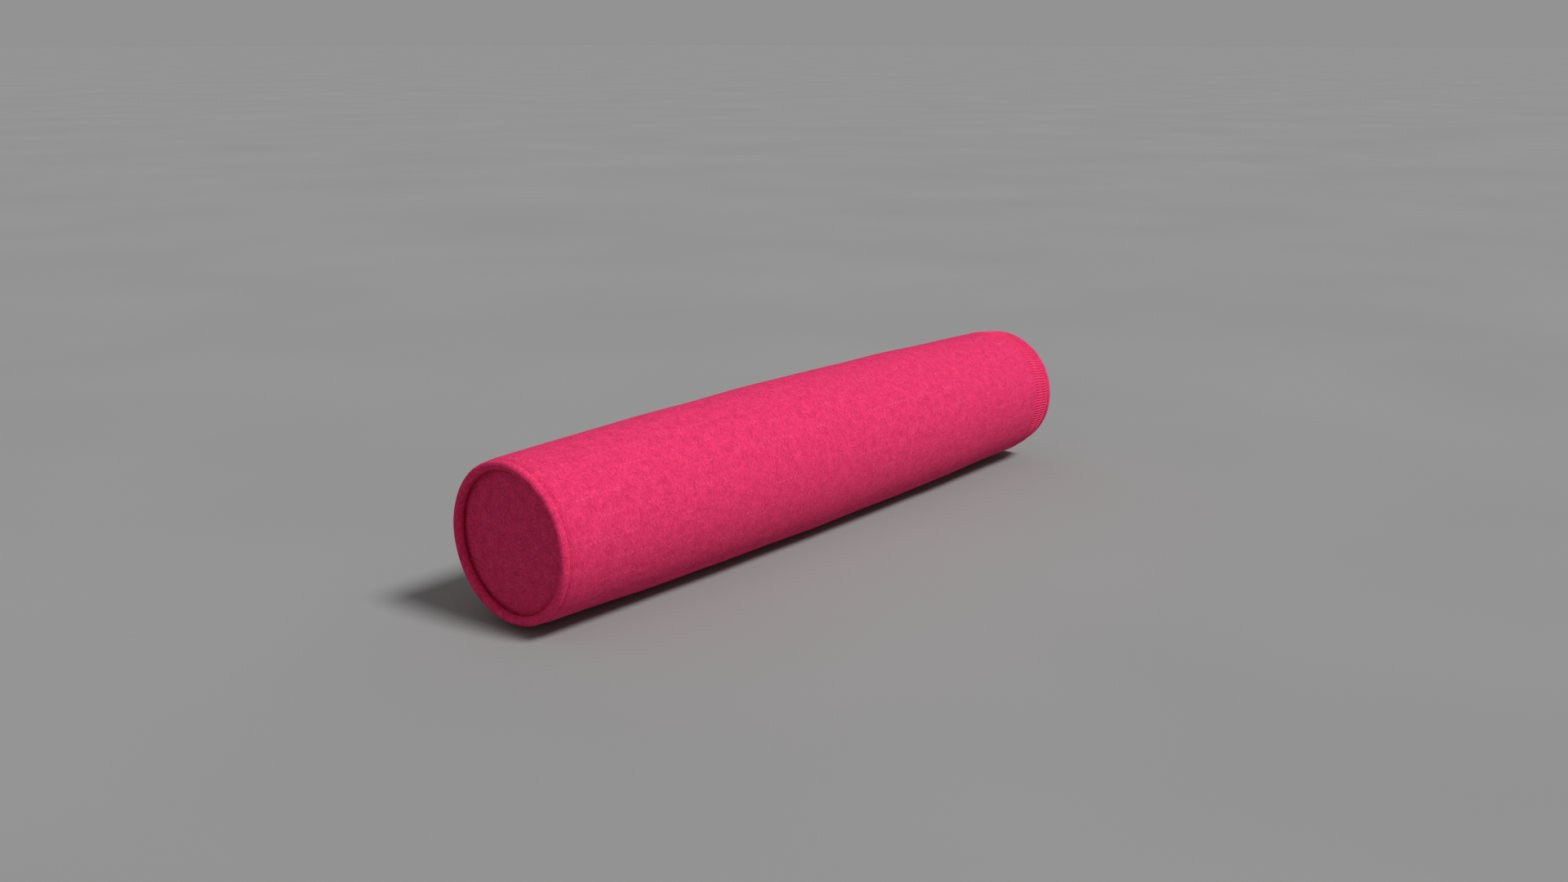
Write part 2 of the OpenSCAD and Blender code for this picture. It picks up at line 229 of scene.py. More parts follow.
# Cover fabric
knit = {
    "wrapRadius": 0.0585,  # the body's usual radius, for laying the knit out round it
    "deep": (0.62, 0.026, 0.108),
    "pink": (0.80, 0.038, 0.145),
    "light": (0.95, 0.055, 0.182),
    "tones": (0.32, 0.5, 0.68),  # where deep, pink and light fall
    "tip": (1.0, 0.12, 0.27),
    "roughness": 0.95,
    "sheen": 0.06,
    "sheenRoughness": 0.5,
    "sheenTint": (1, 0.3, 0.5, 1),
    "gloss": 0.05,
    "wale": 1.5 * mm,
    "course": 1.1 * mm,
    "legSlant": 0.4,
    "fleck": 1.5 * mm,
    "squeeze": 1.7,  # how much shorter a fleck is along the body than round it
    "fuzzScale": 620,
    "patchScale": 120,
    "mix": {"fleck": 0.24, "fuzz": 0.36, "patch": 0.4},
    "rowGap": 15 * mm,
    "dotGap": 4.0 * mm,
    "dotCore": 0.4 * mm,
    "dotEdge": 1.1 * mm,
    "dotPale": 0.38,
    "dashScale": 38,
    "dashCut": 0.5,
    # painted shade below each row of dots and along the loops: darkest share, how far it fades in, and how
    # strongly the loops darken and lighten
    "rowPaintedShade": 0.90,
    "rowFade": 0.12,
    "loopPaintedShade": 0.05,
    "relief": {"fleck": 0.8, "fuzz": 1.2, "dot": 1.5, "strength": 0.5, "height": 0.3 * mm},
    "roughShare": (0.2, 0.8),
}


# How far across its cell a place is, from -0.5 to 0.5
def withinCell(tree, cells):
    return calc(tree, "SUBTRACT", calc(tree, "FRACT", cells), 0.5)


def squared(tree, value):
    return calc(tree, "POWER", calc(tree, "ABSOLUTE", value), 2.0)


def mapRange(tree, value, low, high, newLow, newHigh):
    inputs = {"Value": value, 1: low, 2: high, 3: newLow, 4: newHigh}
    return addNode(tree, "ShaderNodeMapRange", inputs).outputs[0]


def knitMaterial(name, laidOut, depth=1.0):
    material, tree, shader = startMaterial(
        name,
        knit["roughness"],
        Sheen_Weight=knit["sheen"],
        Sheen_Roughness=knit["sheenRoughness"],
        Sheen_Tint=knit["sheenTint"],
        Specular_IOR_Level=knit["gloss"],
    )
    mix, relief = knit["mix"], knit["relief"]
    along, across = laidOut(tree)[:2]
    laid = addNode(tree, "ShaderNodeCombineXYZ", {"X": along, "Y": across}).outputs[0]
    # loops: each wale is a column of slanted legs
    column = calc(tree, "DIVIDE", across, knit["wale"])
    leg = calc(tree, "PINGPONG", column, 0.5)
    row = calc(tree, "MULTIPLY_ADD", leg, knit["legSlant"], calc(tree, "DIVIDE", along, knit["course"]))
    loops = calc(tree, "MULTIPLY", calc(tree, "SINE", calc(tree, "MULTIPLY", row, turn)), 0.5)
    ridge = calc(tree, "SINE", calc(tree, "MULTIPLY", leg, turn))
    stitches = calc(tree, "ADD", loops, ridge)
    # heathered yarn: every fleck its own tone, in soft darker and lighter patches
    squeezed = calc(tree, "MULTIPLY", along, knit["squeeze"])
    cells = addNode(tree, "ShaderNodeCombineXYZ", {"X": squeezed, "Y": across}).outputs[0]
    flecks = addNode(tree, "ShaderNodeTexVoronoi", {"Vector": cells, "Scale": 1 / knit["fleck"]})
    tones = addNode(tree, "ShaderNodeSeparateColor", {"Color": flecks.outputs["Color"]}).outputs[0]
    fuzz = noise(tree, cells, knit["fuzzScale"], 2.0, 0.6)
    patches = noise(tree, laid, knit["patchScale"], 3.0, 0.62)
    yarn = calc(tree, "MULTIPLY_ADD", tones, mix["fleck"], calc(tree, "MULTIPLY", fuzz, mix["fuzz"]))
    yarn = calc(tree, "MULTIPLY_ADD", patches, mix["patch"], yarn)
    colour = ramp(tree, yarn, list(zip(knit["tones"], (knit["deep"], knit["pink"], knit["light"]))))
    # short dashes of raised dots in rows along the length
    rowPlace = calc(tree, "DIVIDE", across, knit["rowGap"])
    inRow = withinCell(tree, rowPlace)
    offRow = calc(tree, "MULTIPLY", inRow, knit["rowGap"])
    inDot = withinCell(tree, calc(tree, "DIVIDE", along, knit["dotGap"]))
    offDot = calc(tree, "MULTIPLY", inDot, knit["dotGap"])
    far = calc(tree, "SQRT", calc(tree, "ADD", squared(tree, offRow), squared(tree, offDot)))
    dots = mapRange(tree, far, knit["dotCore"], knit["dotEdge"], 1.0, 0.0)
    whichRow = calc(tree, "FLOOR", rowPlace)
    slow = addNode(tree, "ShaderNodeCombineXYZ", {"X": along, "Y": whichRow}).outputs[0]
    dashes = calc(tree, "GREATER_THAN", noise(tree, slow, knit["dashScale"], 1.0), knit["dashCut"])
    dots = calc(tree, "MULTIPLY", dots, dashes)
    colour = blendColours(tree, calc(tree, "MULTIPLY", dots, knit["dotPale"]), colour, (*knit["tip"], 1))
    # painted shade: darker just below each row of dots and between the loops, where their relief would be
    # in shade
    under = mapRange(tree, inRow, 0.0, 0.5, knit["rowPaintedShade"], 1.0)
    above = mapRange(tree, inRow, -knit["rowFade"], 0.0, 1.0, knit["rowPaintedShade"])
    paintedShade = calc(tree, "MINIMUM", under, calc(tree, "MAXIMUM", above, knit["rowPaintedShade"]))
    paintedShade = calc(tree, "MULTIPLY_ADD", stitches, knit["loopPaintedShade"], paintedShade)
    paintedShadeColour = addNode(tree, "ShaderNodeCombineColor", {0: paintedShade, 1: paintedShade, 2: paintedShade}).outputs[0]
    # the painted shade is multiplied into the knit's colour
    tree.links.new(blendColours(tree, 1.0, colour, paintedShadeColour, "MULTIPLY"), shader.inputs["Base Color"])
    height = calc(tree, "MULTIPLY_ADD", fuzz, relief["fuzz"], stitches)
    height = calc(tree, "MULTIPLY_ADD", tones, relief["fleck"], height)
    height = calc(tree, "MULTIPLY_ADD", dots, relief["dot"], height)
    setBump(tree, shader, height, relief["strength"] * depth, relief["height"])
    tree.links.new(calc(tree, "MULTIPLY_ADD", fuzz, *knit["roughShare"]), shader.inputs["Roughness"])
    return material


sleeveKnit = knitMaterial("sleeveKnit", wrappedPlace)
panelKnit = knitMaterial("panelKnit", flatPlace)
pipingKnit = knitMaterial("pipingKnit", wrappedPlace, 0.8)

# Thread, dyed with the cloth and twisted
threadLook = {
    "dark": (0.68, 0.030, 0.116),
    "pale": (0.96, 0.055, 0.184),
    "roughness": 0.8,
    "sheen": 0.05,
    "gloss": 0.12,
    "twistScale": 900.0,
    "twistWander": 2.0,
    "twistBump": 0.4,
    "twistHeight": 0.1 * mm,
}


def threadMaterial():
    material, tree, shader = startMaterial(
        "sewingThread",
        threadLook["roughness"],
        Sheen_Weight=threadLook["sheen"],
        Sheen_Tint=knit["sheenTint"],
        Specular_IOR_Level=threadLook["gloss"],
    )
    place = addNode(tree, "ShaderNodeTexCoord").outputs["Object"]
    inputs = {"Vector": place, "Scale": threadLook["twistScale"], "Distortion": threadLook["twistWander"]}
    twist = addNode(tree, "ShaderNodeTexWave", inputs).outputs["Fac"]
    colour = ramp(tree, twist, [(0.1, threadLook["dark"]), (0.8, threadLook["pale"])])
    tree.links.new(colour, shader.inputs["Base Color"])
    setBump(tree, shader, twist, threadLook["twistBump"], threadLook["twistHeight"])
    return material


# Woven tape and cloth: dark and pale tone, thread pitch, and how far the weave slants
weaves = {
    "zipTape": {"dark": (0.36, 0.014, 0.065), "pale": (0.58, 0.03, 0.12), "pitch": 0.7 * mm, "slant": 0.6},
    "linerCloth": {"dark": (0.72, 0.70, 0.65), "pale": (0.88, 0.86, 0.82), "pitch": 0.6 * mm, "slant": 0.0},
}
weaveFinish = {
    "roughness": 0.85,
    "sheen": 0.2,
    "gloss": 0.2,
    "mottleScale": 300,
    "mottleShare": 0.4,
    "bump": 0.5,
    "height": 0.2 * mm,
}


def weaveMaterial(name):
    weave = weaves[name]
    material, tree, shader = startMaterial(
        name,
        weaveFinish["roughness"],
        Sheen_Weight=weaveFinish["sheen"],
        Specular_IOR_Level=weaveFinish["gloss"],
    )
    along, across, place = wrappedPlace(tree)
    warp = calc(tree, "MULTIPLY_ADD", along, weave["slant"], across)
    over = calc(tree, "SINE", calc(tree, "MULTIPLY", warp, turn / weave["pitch"]))
    under = calc(tree, "SINE", calc(tree, "MULTIPLY", along, turn / weave["pitch"]))
    cross = calc(tree, "MULTIPLY_ADD", calc(tree, "MULTIPLY", over, under), 0.3, 0.5)
    mottle = noise(tree, place, weaveFinish["mottleScale"], 2.0)
    share = weaveFinish["mottleShare"]
    mixed = calc(tree, "MULTIPLY_ADD", mottle, share, calc(tree, "MULTIPLY", cross, 1 - share))
    colour = ramp(tree, mixed, [(0.3, weave["dark"]), (0.7, weave["pale"])])
    tree.links.new(colour, shader.inputs["Base Color"])
    setBump(tree, shader, cross, weaveFinish["bump"], weaveFinish["height"])
    return material


# Wadding, cord filling and foam: tones, cells per metre, roughness and how deep the cells look
fillings = {
    "wadding": {
        "dark": (0.80, 0.80, 0.77),
        "pale": (0.95, 0.95, 0.93),
        "cells": 220,
        "rough": 0.95,
        "bump": 0.9,
    },
    "pipingFiller": {
        "dark": (0.70, 0.67, 0.60),
        "pale": (0.88, 0.86, 0.80),
        "cells": 500,
        "rough": 0.9,
        "bump": 0.6,
    },
    "coreFoam": {
        "dark": (0.22, 0.24, 0.26),
        "pale": (0.36, 0.39, 0.41),
        "cells": 420,
        "rough": 0.7,
        "bump": 0.5,
    },
}

fillingFinish = {"gloss": 0.2, "clumpScale": 0.4, "clumps": 0.6, "cells": 0.5, "height": 0.5 * mm}


def softMaterial(name):
    filling = fillings[name]
    gloss = fillingFinish["gloss"]
    material, tree, shader = startMaterial(name, filling["rough"], Specular_IOR_Level=gloss)
    place = addNode(tree, "ShaderNodeTexCoord").outputs["Object"]
    inputs = {"Vector": place, "Scale": filling["cells"]}
    cells = addNode(tree, "ShaderNodeTexVoronoi", inputs).outputs["Distance"]
    clumps = noise(tree, place, filling["cells"] * fillingFinish["clumpScale"], 3.0)
    mixed = calc(tree, "MULTIPLY", cells, fillingFinish["cells"])
    mixed = calc(tree, "MULTIPLY_ADD", clumps, fillingFinish["clumps"], mixed)
    colour = ramp(tree, mixed, [(0.25, filling["dark"]), (0.75, filling["pale"])])
    tree.links.new(colour, shader.inputs["Base Color"])
    setBump(tree, shader, cells, filling["bump"], fillingFinish["height"])
    return material


# Moulded plastic and lacquered metal: tones, grain per metre, roughness as share and base, and relief
plastic = {
    "dark": (0.50, 0.020, 0.085),
    "pale": (0.62, 0.032, 0.12),
    "roughness": 0.42,
    "grain": 900,
    "roughShare": (0.25, 0.3),
    "bump": 0.15,
    "height": 0.05 * mm,
}
metal = {
    "dark": (0.36, 0.37, 0.39),
    "pale": (0.56, 0.57, 0.59),
    "roughness": 0.32,
    "metallic": 0.9,
    "grain": 700,
    "scuffs": 180,
    "roughShare": (0.3, 0.2),
    "bump": 0.12,
    "height": 0.04 * mm,
}


def plasticMaterial():
    material, tree, shader = startMaterial("zipPlastic", plastic["roughness"])
    place = addNode(tree, "ShaderNodeTexCoord").outputs["Object"]
    grain = noise(tree, place, plastic["grain"], 3.0, 0.6)
    colour = ramp(tree, grain, [(0.3, plastic["dark"]), (0.7, plastic["pale"])])
    tree.links.new(colour, shader.inputs["Base Color"])
    tree.links.new(calc(tree, "MULTIPLY_ADD", grain, *plastic["roughShare"]), shader.inputs["Roughness"])
    setBump(tree, shader, grain, plastic["bump"], plastic["height"])
    return material


def metalMaterial():
    material, tree, shader = startMaterial("sliderMetal", metal["roughness"], Metallic=metal["metallic"])
    place = addNode(tree, "ShaderNodeTexCoord").outputs["Object"]
    grain = noise(tree, place, metal["grain"], 4.0, 0.65)
    scuffs = noise(tree, place, metal["scuffs"], 2.0, 0.5)
    colour = ramp(tree, scuffs, [(0.35, metal["dark"]), (0.65, metal["pale"])])
    tree.links.new(colour, shader.inputs["Base Color"])
    tree.links.new(calc(tree, "MULTIPLY_ADD", grain, *metal["roughShare"]), shader.inputs["Roughness"])
    setBump(tree, shader, grain, metal["bump"], metal["height"])
    return material


def floorMaterial():
    material, tree, shader = startMaterial("paleFloor", 0.9, Specular_IOR_Level=0.1)
    place = addNode(tree, "ShaderNodeTexCoord").outputs["Object"]
    low, high = (tuple(part * share for part in studio["floor"]) for share in studio["floorTones"])
    colour = ramp(tree, noise(tree, place, studio["floorMottle"]), [(0.3, low), (0.7, high)])
    tree.links.new(colour, shader.inputs["Base Color"])
    return material


finishes = {
    "cover_knit": sleeveKnit,
    "piping_cloth": pipingKnit,
    "sewing_thread": threadMaterial(),
    "tape_weave": weaveMaterial("zipTape"),
    "liner_cloth": weaveMaterial("linerCloth"),
    "wadding": softMaterial("wadding"),
    "piping_filler": softMaterial("pipingFiller"),
    "core_foam": softMaterial("coreFoam"),
    "zip_plastic": plasticMaterial(),
    "slider_metal": metalMaterial(),
}
slots = {part["node"]: part["material_slot"] for part in record["subparts"]}
for name, node in nodes.items():
    node.data.materials.clear()
    node.data.materials.append(finishes[slots[name]])
for side in ("near", "far"):
    nodes[side + "_end_panel"].data.materials[0] = panelKnit
floor.data.materials.append(floorMaterial())
print("materials ready")


# Helpers for pieces
def makePiece(name, points, faces, material, body):
    mesh = bpy.data.meshes.new(name)
    mesh.from_pydata([tuple(point) for point in points], [], faces)
    mesh.validate()
    mesh.update()
    mesh.polygons.foreach_set("use_smooth", [True] * len(mesh.polygons))
    piece = bpy.data.objects.new(name, mesh)
    scene.collection.objects.link(piece)
    mesh.materials.append(material)
    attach(piece, body)
    return piece


def thicken(piece, thickness, offset=-1):
    solid = piece.modifiers.new("thickness", "SOLIDIFY")
    solid.thickness = thickness
    solid.offset = offset
    solid.use_quality_normals = True


# Lets cloth swell under pressure with some points held, and gives back where its points end up
def puffUp(points, faces, held, puff):
    mesh = bpy.data.meshes.new("puffing")
    mesh.from_pydata([tuple(point) for point in points], [], faces)
    cloth = bpy.data.objects.new("puffing", mesh)
    scene.collection.objects.link(cloth)
    group = cloth.vertex_groups.new(name="held")
    group.add([int(i) for i in held], 1.0, "REPLACE")
    swell = cloth.modifiers.new("swell", "CLOTH")
    swell.settings.quality = puff["quality"]
    swell.settings.mass = puff["mass"]
    swell.settings.tension_stiffness = puff["stiffness"]
    swell.settings.compression_stiffness = puff["stiffness"]
    swell.settings.shear_stiffness = puff["stiffness"]
    swell.settings.bending_stiffness = puff["bending"]
    swell.settings.vertex_group_mass = "held"
    swell.settings.use_pressure = True
    swell.settings.uniform_pressure_force = puff["pressure"]
    swell.settings.effector_weights.gravity = 0
    swell.point_cache.frame_start = 1
    swell.point_cache.frame_end = puff["frames"]
    for step in range(1, puff["frames"] + 1):
        scene.frame_set(step)
    shaped = cloth.evaluated_get(bpy.context.evaluated_depsgraph_get())
    moved = np.empty(len(mesh.vertices) * 3)
    shaped.data.vertices.foreach_get("co", moved)
    bpy.data.objects.remove(cloth, do_unlink=True)
    bpy.data.meshes.remove(mesh)
    scene.frame_set(1)
    return moved.reshape(-1, 3)


# Weights that carry values at even places to other places along a smooth curve
def curveWeights(wanted, start, step, count, closed=False):
    weights = np.zeros((len(wanted), count))
    for line, place in enumerate(wanted):
        steps = (place - start) / step
        base = math.floor(steps)
        t = steps - base
        parts = (
            -0.5 * t + t * t - 0.5 * t**3,
            1 - 2.5 * t * t + 1.5 * t**3,
            0.5 * t + 2 * t * t - 1.5 * t**3,
            -0.5 * t * t + 0.5 * t**3,
        )
        for shift, part in zip((-1, 0, 1, 2), parts):
            at = base + shift
            at = at % count if closed else min(max(at, 0), count - 1)
            weights[line, at] += part
    return weights


# Faces of a grid of points, row after row
def gridFaces(rows, columns, closed, keep=None):
    faces = []
    for row in range(rows - 1):
        for column in range(columns if closed else columns - 1):
            if keep is None or keep(row, column):
                beside = (column + 1) % columns
                low, high = row * columns, (row + 1) * columns
                faces.append((low + column, low + beside, high + beside, high + column))
    return faces


# Slow unevenness: each wave's share, pace along, turns round and start
waves = [(1.0, 41, 2, 0.6), (0.7, 67, -3, 2.1), (0.5, 23, 5, 4.0)]


def wobble(x, angle, amount):
    total = sum(share * math.sin(x * pace + turns * angle + start) for share, pace, turns, start in waves)
    return amount * total / sum(wave[0] for wave in waves)


# The piping's ring at each end, read from the frame
def rimFacts(side):
    cordLow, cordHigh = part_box(side + "_piping_cord")
    coverLow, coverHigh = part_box(side + "_piping_cover")
    sign = -1 if side == "near" else 1
    crest = coverLow.x if side == "near" else coverHigh.x
    tube = (cordHigh.x - cordLow.x) / 2
    ring = (cordHigh.y - cordLow.y) / 2 - tube
    return {"sign": sign, "crest": crest, "ring": ring, "pipe": (coverHigh.y - coverLow.y) / 2 - ring}


rims = {side: rimFacts(side) for side in ("near", "far")}

# Sleeve
sleeve = {
    "thickness": 1.4 * mm,
    "shrink": 0.5 * mm,
    "most": 1.0 * mm,
    "gridStep": 4 * mm,
    "gridAngles": 96,
    "lip": 2.8 * mm,
    "lipRows": 8,
    "overlap": 1.3 * mm,
    "seamAt": 2.1 * mm,
    "fineStep": 1.6 * mm,
    "coarseStep": 3.4 * mm,
    "slotHalf": 5.0 * mm,
    "seamDepth": 0.7 * mm,
    "pucker": 0.3 * mm,
    "puckerPitch": 3.4 * mm,
    "puckerFade": 2.5 * mm,
    "wobble": 0.25 * mm,
    "puffWobble": 0.2 * mm,
    "calmEnd": 30 * mm,  # nearer an end than this the cloth is less uneven
    "reachOut": 100 * mm,  # rays start this far out and stop before the middle
    "rayLength": 60 * mm,
    "gridInset": 0.1 * mm,
    "besideZip": math.radians(8),
    "flatHalf": math.radians(14),
    "foldDepth": 1.1 * mm,
    "foldUnder": math.radians(0.7),
    "seamHalf": math.radians(2),
    "seamWidth": 0.55 * mm,
    "offFloor": 0.2 * mm,
    "nearFine": 24 * mm,  # lengths of the finer rows at the two ends
    "farFine": 46 * mm,
    "aroundSteps": 168,
    "lipBend": 1.15,
}
sleevePuff = {"mass": 0.3, "quality": 5, "stiffness": 25, "bending": 0.6, "pressure": 3.0, "frames": 18}


def skinTree(name):
    mesh = nodes[name].data
    return BVHTree.FromPolygons([v.co for v in mesh.vertices], [tuple(p.vertices) for p in mesh.polygons])


def skinRadius(tree, x, angle):
    start = onBody(x, sleeve["reachOut"], angle)
    hit = tree.ray_cast(start, onBody(x, 0, angle) - start, sleeve["rayLength"])
    return None if hit[0] is None else sleeve["reachOut"] - hit[3]


def sleeveField():
    tree = skinTree("cover_sleeve")
    count = round((sleeveHigh.x - sleeveLow.x) / sleeve["gridStep"])
    inset = sleeve["gridInset"]
    places = np.linspace(sleeveLow.x + inset, sleeveHigh.x - inset, count + 1)
    angles = zipAngle + np.arange(sleeve["gridAngles"]) * turn / sleeve["gridAngles"]
    beside = skinRadius(tree, (slotStart + slotEnd) / 2, zipAngle + sleeve["besideZip"])
    level = beside * math.cos(sleeve["besideZip"])  # the flat along the zip
    radii = np.empty((len(places), len(angles)))
    for i, x in enumerate(places):
        for j, angle in enumerate(angles):
            found = skinRadius(tree, x, angle)
            radii[i, j] = found if found else level / math.cos(angle - zipAngle)
    return places, angles, radii, level


def swollenField(places, angles, radii):
    shrunk = radii - sleeve["shrink"]
    shrunk[0], shrunk[-1] = radii[0], radii[-1]
    points = [
        onBody(x, shrunk[i, j] + wobble(x, angle, sleeve["puffWobble"]), angle)
        for i, x in enumerate(places)
        for j, angle in enumerate(angles)
    ]
    rows, columns = radii.shape
    besideSlot = [i for i in range(rows) if slotStart < places[i] < slotEnd]
    flatten = [i * columns + j for i in besideSlot for j in (columns - 1, 0, 1)]
    ends = [i * columns + j for i in (0, rows - 1) for j in range(columns)]
    faces = gridFaces(rows, columns, True)
    moved = puffUp(points, faces, flatten + ends, sleevePuff)
    reach = np.hypot(moved[:, 1], moved[:, 2] - axisZ).reshape(rows, columns)
    print("sleeve swelled by up to %.2f mm" % ((reach - radii).max() / mm))
    return np.clip(reach, radii - sleeve["shrink"], radii + sleeve["most"])


def sleeveRows():
    first = sleeveLow.x + sleeve["lip"]
    last = sleeveHigh.x - sleeve["lip"]
    stops = [first, first + sleeve["nearFine"], slotStart, slotEnd, last - sleeve["farFine"], last]
    steps = ["fineStep", "coarseStep", "coarseStep", "coarseStep", "fineStep"]
    rows = [first]
    for low, high, step in zip(stops, stops[1:], steps):
        count = max(1, round((high - low) / sleeve[step]))
        rows += [low + (high - low) * (i + 1) / count for i in range(count)]
    return rows


def sleeveColumns():
    edge = math.degrees(math.atan(sleeve["slotHalf"] / zipLevel))
    past = 5  # degrees of closer columns past the edge of the opening
    near = [0, 0.5, 1.1, 2.6, edge - 0.5, edge, edge + 0.9, edge + 2, edge + 3.4, edge + past]
    spread = np.linspace(edge + past, 360 - edge - past, sleeve["aroundSteps"])[1:-1]
    degrees = near + list(spread) + [360 - value for value in reversed(near[1:])]
    return [math.radians(value) for value in degrees], near.index(edge)


def makeSleeve():
    rows = sleeveRows()
    columns, edgeColumn = sleeveColumns()
    step = (places[-1] - places[0]) / (len(places) - 1)
    byRow = curveWeights(rows, places[0], step, len(places))
    byColumn = curveWeights(columns, 0, turn / len(angles), len(angles), True)
    radii = byRow @ swollen @ byColumn.T
    grid = []
    lip = sleeve["lip"]
    ends = {"near": (sleeveLow.x, 1, radii[0]), "far": (sleeveHigh.x, -1, radii[-1])}
    tucked = {}
    for side, (edge, inward, surface) in ends.items():
        seam = rims[side]["ring"] + sleeve["seamAt"]
        start = edge - inward * sleeve["overlap"]  # laps a little on to the piping
        tucked[side] = []
        for i in range(sleeve["lipRows"]):
            share = i / sleeve["lipRows"]
            x = start + inward * (lip + sleeve["overlap"]) * share ** sleeve["lipBend"]
            tucked[side].append((x, seam + (surface - seam) * math.sin(share * math.pi / 2)))
    lines = tucked["near"] + list(zip(rows, radii)) + tucked["far"][::-1]
    for x, line in lines:
        inside = min(x - sleeveLow.x, sleeveHigh.x - x)
        for j, column in enumerate(columns):
            radius = line[j]
            angle = zipAngle + column
            fade = math.exp(-max(0, inside) / sleeve["puckerFade"])
            gathers = turn * column * radius / sleeve["puckerPitch"]
            gathers += 0.8 * math.sin(3 * column)  # so that the gathers are not quite even
            radius -= sleeve["pucker"] * fade * (0.5 + 0.5 * math.sin(gathers))
            radius += wobble(x, column, sleeve["wobble"]) * max(0, min(1, inside / sleeve["calmEnd"]))
            aside = min(column, turn - column)
            slotRow = slotStart - hair < x < slotEnd + hair
            if aside < sleeve["flatHalf"] and slotRow:
                radius = zipLevel / math.cos(column)  # lies flat on the tapes
            if slotRow and j in (edgeColumn - 1, len(columns) - edgeColumn + 1):
                radius -= sleeve["foldDepth"]  # the fabric folds under along the opening
                angle += sleeve["foldUnder"] * (1 if column < math.pi else -1)
            if not slotRow and aside < sleeve["seamHalf"]:
                radius -= sleeve["seamDepth"] * math.exp(-((aside * radius / sleeve["seamWidth"]) ** 2))
            point = onBody(x, radius, angle)
            point.z = max(point.z, sleeve["offFloor"])
            grid.append(point)
    count = len(columns)
    inSlot = [slotStart - hair < x < slotEnd + hair for x, line in lines]

    def keep(row, column):
        gap = column < edgeColumn - 1 or column >= count - edgeColumn + 1
        return not (gap and inSlot[row] and inSlot[row + 1])

    faces = gridFaces(len(lines), count, True, keep)
    piece = makePiece("sleeveCloth", grid, faces, sleeveKnit, "float")
    thicken(piece, sleeve["thickness"])
    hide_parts("cover_sleeve")
    return piece


places, angles, skin, zipLevel = sleeveField()
swollen = swollenField(places, angles, skin)
makeSleeve()
print("sleeve made")

# End panels
panel = {
    "thickness": 1.4 * mm,
    "rings": 20,
    "spokes": 132,
    "dome": 1.6 * mm,
    "raise": 0.9 * mm,
    "groove": 1.9 * mm,
    "grooveWidth": 6.0 * mm,
    "edgeGap": 0.1 * mm,
    "ringSpread": 0.9,
    "mostPuff": 1.3,  # of the dome
    "ripple": 0.12 * mm,
    "ripples": 46,
    "rippleFade": 3 * mm,
    "wobble": 0.15 * mm,
}
dipPeak = 27 / 4  # makes the deepest point of across * (1 - across)**2 come to 1
panelPuff = {"mass": 0.3, "quality": 5, "stiffness": 20, "bending": 0.5, "pressure": 1.5, "frames": 14}


def makePanel(side):
    rim = rims[side]
    low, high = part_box(side + "_end_panel")
    outward = rim["sign"]
    face = low.x if side == "near" else high.x
    reach = rim["ring"] - panel["edgeGap"]
    points = [(face, 0, axisZ)]
    for ring in range(1, panel["rings"] + 1):
        radius = reach * (ring / panel["rings"]) ** panel["ringSpread"]
        for spoke in range(panel["spokes"]):
            angle = turn * spoke / panel["spokes"]
            points.append(tuple(onBody(face, radius, angle)))
    spokes = panel["spokes"]
    faces = [(0, 1 + (i + 1) % spokes, 1 + i) for i in range(spokes)]
    for ring in range(panel["rings"] - 1):
        low, high = 1 + ring * spokes, 1 + (ring + 1) * spokes
        for i in range(spokes):
            beside = (i + 1) % spokes
            faces.append((low + i, low + beside, high + beside, high + i))
    if outward > 0:
        faces = [face[::-1] for face in faces]
    swell = np.zeros(len(points))
    held = range(len(points) - spokes, len(points))
    swell = (puffUp(points, faces, held, panelPuff)[:, 0] - face) * outward
    shaped = []
    for (x, y, z), puffed in zip(points, swell):
        radius = math.hypot(y, z - axisZ)
        angle = math.atan2(z - axisZ, y)
        dome = panel["dome"] * (1 - (radius / reach) ** 2)
        rise = 0.5 * dome + 0.5 * puffed if puffed else dome
        rise = max(0, min(panel["dome"] * panel["mostPuff"], rise))
        rimGap = reach - radius
        across = min(1, rimGap / panel["grooveWidth"])
        lift = panel["raise"] - panel["groove"] * dipPeak * across * (1 - across) ** 2
        fade = math.exp(-rimGap / panel["rippleFade"])
        ripple = panel["ripple"] * math.sin(angle * panel["ripples"]) * fade
        uneven = wobble(y * 3, angle, panel["wobble"])
        shaped.append((x + outward * (rise + lift + ripple + uneven), y, z))
    piece = makePiece(side + "PanelCloth", shaped, faces, panelKnit, "float")
    thicken(piece, panel["thickness"])
    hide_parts(side + "_end_panel")


for side in rims:
    makePanel(side)
print("end panels made")

# Piping
piping = {
    "steps": 320,
    "sides": 22,
    "uneven": 0.07 * mm,
    "lumps": 7,
    "pull": 0.16 * mm,
    "pullPitch": 3.4 * mm,
    "flat": 0.92,
}


def makePiping(side):
    rim = rims[side]
    middle = rim["crest"] - rim["sign"] * rim["pipe"]
    points = []
    for step in range(piping["steps"]):
        angle = turn * step / piping["steps"]
        pull = math.sin(angle * rim["ring"] * turn / piping["pullPitch"])
        for part in range(piping["sides"]):
            around = turn * part / piping["sides"]
            out, height = math.cos(around), math.sin(around)
            tube = rim["pipe"] + piping["uneven"] * math.sin(piping["lumps"] * angle + 2 * around)
            tube -= piping["pull"] * max(0, -out) ** 2 * (0.5 + 0.5 * pull)  # the seam draws it in
            x = middle + rim["sign"] * out * tube
            points.append(onBody(x, rim["ring"] + height * tube * piping["flat"], angle))
    faces = gridFaces(piping["steps"], piping["sides"], True)
    last = (piping["steps"] - 1) * piping["sides"]
    for part in range(piping["sides"]):
        beside = (part + 1) % piping["sides"]
        faces.append((last + part, last + beside, beside, part))
    if rim["sign"] < 0:
        faces = [face[::-1] for face in faces]
    piece = makePiece(side + "PipingCloth", points, faces, pipingKnit, "float")
    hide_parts(side + "_piping_cover")


for side in rims:
    makePiping(side)
print("piping made")

